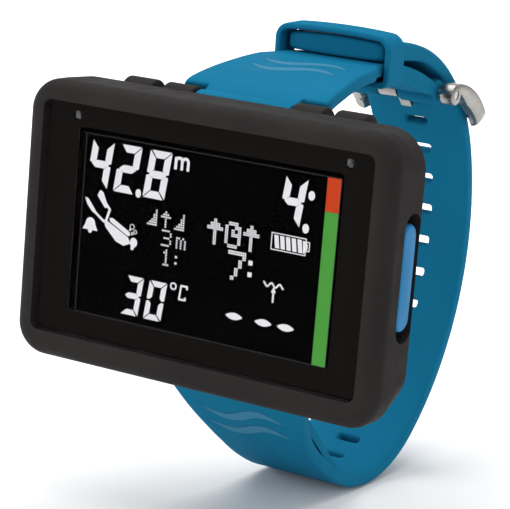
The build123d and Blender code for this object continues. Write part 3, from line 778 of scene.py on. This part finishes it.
def segment_shapes(x, z, w, h, t, lit_ones, slant=0.13, gap=0.13):
    """Polygons of a slanted seven-segment figure whose lower left corner is (x, z)."""
    m, g = h / 2, gap
    shapes = {
        "a": [(g + t * 0.15, h), (w - g, h), (w - t - g, h - t), (t + g, h - t)],
        "b": [(w, h - g), (w, m + g + t * 0.1), (w - t * 0.5, m + g), (w - t, m + t * 0.5 + g),
              (w - t, h - t - g)],
        "c": [(w, m - g - t * 0.1), (w, g), (w - t, t + g), (w - t, m - t * 0.5 - g), (w - t * 0.5, m - g)],
        "d": [(g, 0), (w - g - t * 0.15, 0), (w - t - g, t), (t + g, t)],
        "e": [(0, m - g - t * 0.1), (t * 0.5, m - g), (t, m - t * 0.5 - g), (t, t + g), (0, g)],
        "f": [(0, h - g), (t, h - t - g), (t, m + t * 0.5 + g), (t * 0.5, m + g), (0, m + g + t * 0.1)],
        "g": [(t * 0.35, m), (t, m + t * 0.5), (w - t, m + t * 0.5), (w - t * 0.35, m), (w - t, m - t * 0.5),
              (t, m - t * 0.5)],
    }
    return [[(x + px + pz * slant, z + pz) for px, pz in shapes[s]] for s in lit_ones]


def oval(x, z, rx, rz, count=20):
    return [(x + rx * math.cos(2 * math.pi * k / count), z + rz * math.sin(2 * math.pi * k / count))
            for k in range(count)]


def ring(x, z, r, width, count=20):
    """A thin ring as short bars."""
    out = []
    for k in range(count):
        a, b = 2 * math.pi * k / count, 2 * math.pi * (k + 1) / count
        out.append([(x + q * math.cos(c), z + q * math.sin(c))
                    for q, c in ((r, a), (r, b), (r - width, b), (r - width, a))])
    return out


def stroke(path, width):
    """A thick line along a path, as one bar per run, with round joints."""
    out = []
    for (x0, z0), (x1, z1) in zip(path, path[1:]):
        d = Vector((x1 - x0, z1 - z0)).normalized() * width / 2
        out.append([(x0 - d.y, z0 + d.x), (x0 + d.y, z0 - d.x), (x1 + d.y, z1 - d.x), (x1 - d.y, z1 + d.x)])
    for x, z in path[1:-1]:
        out.append(oval(x, z, width / 2, width / 2, 12))
    return out


def bar(x0, z0, x1, z1):
    return [(x0, z0), (x1, z0), (x1, z1), (x0, z1)]


def dots(rows, x, z, pitch, size):
    """Dot-matrix figure from rows of text, lit where there is a hash. (x, z) is its top left."""
    out = []
    for r, row in enumerate(rows):
        for c, mark in enumerate(row):
            if mark == "#":
                cx, cz = x + c * pitch, z - r * pitch
                out.append(bar(cx, cz - size, cx + size, cz))
    return out


THREE = ("####.", "....#", "....#", ".###.", "....#", "....#", "####.")
UNIT = (".....", ".....", "##.#.", "#.#.#", "#.#.#", "#.#.#", "#.#.#")
ONE = ("..#..", ".##..", "..#..", "..#..", "..#..", "..#..", ".###.")
SEVEN = ("#####", "....#", "...#.", "...#.", "..#..", "..#..", ".#...")
STEPS = ("....#", "....#", "...##", "...##", "..###", ".####", "#####")
RISE = ("..#..", ".###.", "#####", "..#..", "..#..", "..#..", "..#..")
CLOCK = (".###.", "#..##", "#.#.#", "#.###", "#...#", "#...#", ".###.")


def diver():
    """A swimmer with a cylinder on the back, drawn from plain shapes."""
    shapes = stroke([(-24.6, 4.2), (-22.6, 2.2), (-20.6, 0.9)], 0.42)
    shapes += [[(-25.0, 4.6), (-24.3, 4.5), (-22.6, 2.6), (-23.1, 2.1), (-24.4, 3.4)]]
    shapes += stroke([(-21.9, 5.6), (-19.6, 3.2), (-20.3, 1.0)], 0.46)
    shapes += [[(-22.4, 5.3), (-21.9, 6.3), (-21.2, 6.0), (-20.0, 3.6), (-20.6, 3.3)]]
    shapes += [[(-20.7, 1.3), (-20.1, 1.2), (-17.5, 0.0), (-15.4, -1.0), (-14.9, -2.0), (-16.2, -2.6),
                (-17.9, -2.1), (-20.3, 0.1)]]
    shapes += [[(-19.5, 1.75), (-18.9, 1.85), (-15.2, 0.0), (-15.0, -0.6), (-15.5, -0.75), (-19.4, 1.15)]]
    shapes += [oval(-14.2, -1.7, 0.75, 0.85)]
    shapes += [bar(-14.7, -3.0, -14.1, -2.4)]
    for x, z, r in ((-14.7, 1.0, 0.5), (-14.0, 0.2, 0.38), (-14.6, -0.2, 0.27), (-15.1, 0.4, 0.2)):
        shapes += ring(x, z, r, 0.12, 14)
    return shapes


def bell():
    dome = [(-23.5 + 1.0 * math.cos(a), 0.1 + 1.1 * math.sin(a)) for a in np.linspace(0, math.pi, 14)]
    skirt = [(-24.5, 0.1), (-25.1, -1.0), (-21.9, -1.0), (-22.5, 0.1)]
    return [dome, skirt, oval(-23.5, -1.15, 0.42, 0.42, 14)]


def battery():
    case = [
        (13.3, 4.9), (19.9, 4.9), (19.9, 4.4), (20.6, 4.4), (20.6, 2.9), (19.9, 2.9), (19.9, 2.1),
        (13.3, 2.1), (13.3, 5.0),
    ]
    shapes = stroke(case, 0.16)
    for k in range(5):
        x = 13.75 + 1.12 * k
        shapes.append([(x, 4.6), (x + 0.8, 4.6), (x + 1.15, 2.4), (x + 0.35, 2.4)])
    shapes.append([(19.3, 4.5), (19.65, 4.5), (20.25, 4.0), (20.25, 3.2), (19.65, 2.4), (19.5, 2.4)])
    return shapes


def surface_mark():
    wave = [(12.4 + 4.0 * k / 24, -3.95 + 0.35 * math.cos(2 * math.pi * k / 9.6)) for k in range(25)]
    shaft = stroke([(14.5, -5.0), (14.5, -6.9)], 0.34)
    return stroke(wave, 0.3) + shaft + [[(14.5, -4.2), (15.0, -5.2), (14.0, -5.2)]]


def lens_mark(x, z, half, tall):
    up = [(x + half * c, z + tall * (1 - c * c)) for c in np.linspace(-1, 1, 9)]
    down = [(x + half * c, z - tall * (1 - c * c)) for c in np.linspace(1, -1, 9)][1:-1]
    return up + down


def unit_m(x, z):
    """Small metre sign."""
    arch = [(x + 1.05 - 0.6 * math.cos(a), z + 1.5 + 0.55 * math.sin(a)) for a in np.linspace(0, math.pi, 7)]
    second = [(px + 1.25, pz) for px, pz in arch]
    shapes = stroke([(x + 0.35, z), (x + 0.42, z + 2.1)], 0.56)
    for curve in (arch, second):
        shapes += stroke([*curve, (curve[-1][0] - 0.02, z)], 0.52)
    return shapes


def white_shapes():
    shapes = []
    for figure, x in (("4", -25.05), ("2", -19.25), ("8", -13.05)):
        shapes += segment_shapes(x, 6.6, 4.45, 8.4, 1.3, SEGMENTS[figure])
    shapes.append(oval(-13.95, 7.0, 0.55, 0.75))
    shapes += unit_m(-7.1, 12.35)
    shapes += segment_shapes(14.1, 6.5, 4.2, 8.3, 1.3, SEGMENTS["4"])
    shapes += [oval(20.2, 12.2, 0.62, 0.8), oval(19.6, 6.6, 0.62, 0.8)]
    shapes += segment_shapes(-15.95, -14.5, 3.6, 6.95, 1.0, SEGMENTS["3"])
    shapes += segment_shapes(-11.1, -14.5, 3.6, 6.95, 1.0, SEGMENTS["0"])
    shapes += ring(-5.35, -7.75, 0.68, 0.28)
    shapes += stroke([(-2.5, -7.4), (-3.75, -7.4), (-4.05, -9.8), (-2.8, -9.8)], 0.34)
    shapes += [bar(-2.72, -7.95, -2.38, -7.25), bar(-3.0, -9.95, -2.66, -9.3)]
    shapes += diver() + bell() + battery() + surface_mark()
    for x in (7.2, 13.0, 17.4):
        shapes.append(lens_mark(x, -10.65, 1.7, 0.62))
    for x in (-11.7, -8.9, -6.1):
        shapes += dots(STEPS if x != -8.9 else RISE, x, 4.85, 0.42, 0.3)
    shapes += dots(THREE, -8.5, 1.65, 0.42, 0.3) + dots(UNIT, -5.5, 1.65, 0.42, 0.3)
    shapes += dots(ONE, -8.3, -1.7, 0.42, 0.3)
    shapes += [bar(-5.5, -2.85, -5.05, -2.45), bar(-5.5, -3.95, -5.05, -3.55)]
    for mark, x in ((RISE, 0.55), (CLOCK, 4.15), (RISE, 7.75)):
        shapes += dots([c for row in mark for c in [doubled(row)] * 2], x, 5.3, 0.32, 0.25)
    shapes += dots([c for row in SEVEN for c in [doubled(row)] * 2], 5.1, 0.5, 0.36, 0.29)
    shapes += [bar(9.2, -1.4, 10.0, -0.6), bar(9.2, -3.4, 10.0, -2.6)]
    return shapes


def doubled(row):
    return "".join(mark * 2 for mark in row)


def marks(name, shapes, look, lift):
    """Thin raised ink on the panel's front."""
    low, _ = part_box("lcd_panel")
    front = low.y / MM - lift
    shift_x, shift_z = SCREEN_SHIFT
    points, faces = [], []
    for shape in shapes:
        start, size = len(points), len(shape)
        area = sum(a[0] * b[1] - b[0] * a[1] for a, b in zip(shape, shape[1:] + shape[:1]))
        shape = shape if area > 0 else shape[::-1]
        for y in (front, front + 0.04):
            points += [(x + shift_x, y, z + LENS_Z + shift_z) for x, z in shape]
        faces.append([start + i for i in range(size)])
        faces.append([start + size + i for i in reversed(range(size))])
        for i in range(size):
            j = (i + 1) % size
            faces.append([start + j, start + i, start + size + i, start + size + j])
    mesh = bpy.data.meshes.new(name)
    mesh.from_pydata([[c * MM for c in p] for p in points], [], faces)
    mesh.validate()
    mesh.materials.append(look)
    piece = bpy.data.objects.new(name, mesh)
    scene.collection.objects.link(piece)
    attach(piece, "computer")


def display():
    white = lit("display_white_look", (0.85, 0.84, 0.87), 1.0)
    red = lit("display_red_look", (0.6, 0.06, 0.016), 1.0)
    green = lit("display_green_look", (0.078, 0.335, 0.054), 1.0)
    grey = lit("display_border_look", (0.045, 0.045, 0.05), 1.0)
    half_w, half_h = SCREEN_W / 2, SCREEN_H / 2
    marks("display_figures", white_shapes(), white, 0.06)
    marks("display_warning_zone", [bar(22.95, 10.1, half_w - 0.1, half_h - 0.15)], red, 0.06)
    marks("display_safe_zone", [bar(22.95, -half_h + 0.1, half_w - 0.1, 10.05)], green, 0.06)
    w, h = half_w - 0.05, half_h - 0.05
    marks("display_border", stroke([(-w, h), (w, h), (w, -h), (-w, -h), (-w, h)], 0.1), grey, 0.05)


# ---------------------------------------------------------------- stage

def stage(floor_z):
    """A large pale floor that curves up behind into a plain wall."""
    profile = [(-1.6, 0.0), (1.6, 0.0)]
    for k in range(1, 17):
        angle = math.pi / 2 * k / 16
        profile.append((1.6 + 0.9 * math.sin(angle), 0.9 - 0.9 * math.cos(angle)))
    profile.append((2.5, 2.4))
    points, faces = [], []
    for d, z in profile:
        for x in (-3.0, 3.0):
            points.append((x, d, z + floor_z))
    for i in range(len(profile) - 1):
        faces.append([2 * i, 2 * i + 1, 2 * i + 3, 2 * i + 2])
    mesh = bpy.data.meshes.new("studio_floor")
    mesh.from_pydata(points, [], faces)
    mesh.shade_smooth()
    floor = bpy.data.objects.new("studio_floor", mesh)
    scene.collection.objects.link(floor)
    floor.rotation_euler = (0.0, 0.0, math.radians(30.0))
    look = moulded("studio_paper_look", (0.9, 0.9, 0.9), 0.9, 600.0, 0.01, 0.01, 0.1)
    mesh.materials.append(look)


def area_light(name, where, target, size, watts, colour=(1.0, 1.0, 1.0)):
    light = bpy.data.lights.new(name, "AREA")
    light.shape = "RECTANGLE"
    light.size, light.size_y = size
    light.energy = watts
    light.color = colour
    lamp = bpy.data.objects.new(name, light)
    scene.collection.objects.link(lamp)
    lamp.location = where
    lamp.rotation_euler = (Vector(target) - Vector(where)).to_track_quat("-Z", "Y").to_euler()


def lights():
    world = bpy.data.worlds.new("studio_world")
    world.use_nodes = True
    background = world.node_tree.nodes["Background"]
    background.inputs["Color"].default_value = (1.0, 1.0, 1.0, 1.0)
    background.inputs["Strength"].default_value = 0.5
    scene.world = world
    middle = (0.0, 0.01, 0.0)
    area_light("top_light", (-0.15, -0.1, 0.9), middle, (0.9, 0.9), 6.5)
    area_light("front_light", (-0.7, -0.7, 0.15), middle, (0.7, 0.7), 5.0)
    area_light("side_light", (0.9, -0.25, 0.35), middle, (0.6, 0.6), 1.6)
    area_light("back_light", (-0.3, 0.5, 0.9), (-0.6, 1.5, 0.0), (1.4, 1.0), 16.0)


def camera():
    data = bpy.data.cameras.new("photo_camera")
    data.sensor_width = 36.0
    data.lens = 162.4
    data.clip_start, data.clip_end = 0.05, 20.0
    cam = bpy.data.objects.new("photo_camera", data)
    scene.collection.objects.link(cam)
    right = Vector((0.8465, 0.5260, 0.0815))
    up = Vector((-0.1746, 0.1296, 0.9761))
    back = right.cross(up).normalized()
    right = up.cross(back).normalized()
    rotation = Matrix((right, up, back)).transposed().to_4x4()
    rotation.translation = Vector((0.2039, -0.3393, 0.0770))
    cam.matrix_world = rotation
    scene.camera = cam


def painted_film_glow(look, colour):
    """Painted light: a faint glow given to the dark film bonded to the back of the window, standing in for
    the light that should reach it.
    """
    shader = look.node_tree.nodes["Principled BSDF"]
    shader.inputs["Emission Color"].default_value = (*colour, 1.0)
    shader.inputs["Emission Strength"].default_value = 1.0


def finish_cad_nodes():
    """Give every carried-over node the material of its slot."""
    for subpart in frame["record"]["subparts"]:
        node = frame["nodes"][subpart["node"]]
        node.data.materials.clear()
        node.data.materials.append(LOOKS[subpart["material_slot"]])
        node.data.set_sharp_from_angle(angle=math.radians(35))


camera()
lights()
stage(cad_box[0].z - 0.0003)
# The dark film behind the window gets a faint painted glow, standing in for the light it would otherwise
# catch.
painted_film_glow(LOOKS["black_film"], (0.0082, 0.0072, 0.0065))
finish_cad_nodes()
strap_long()
strap_short()
strap_keeper()
buckle_frame()
button_cap(1, "right")
button_cap(-1, "left")
display()
scene.view_settings.view_transform = "Standard"
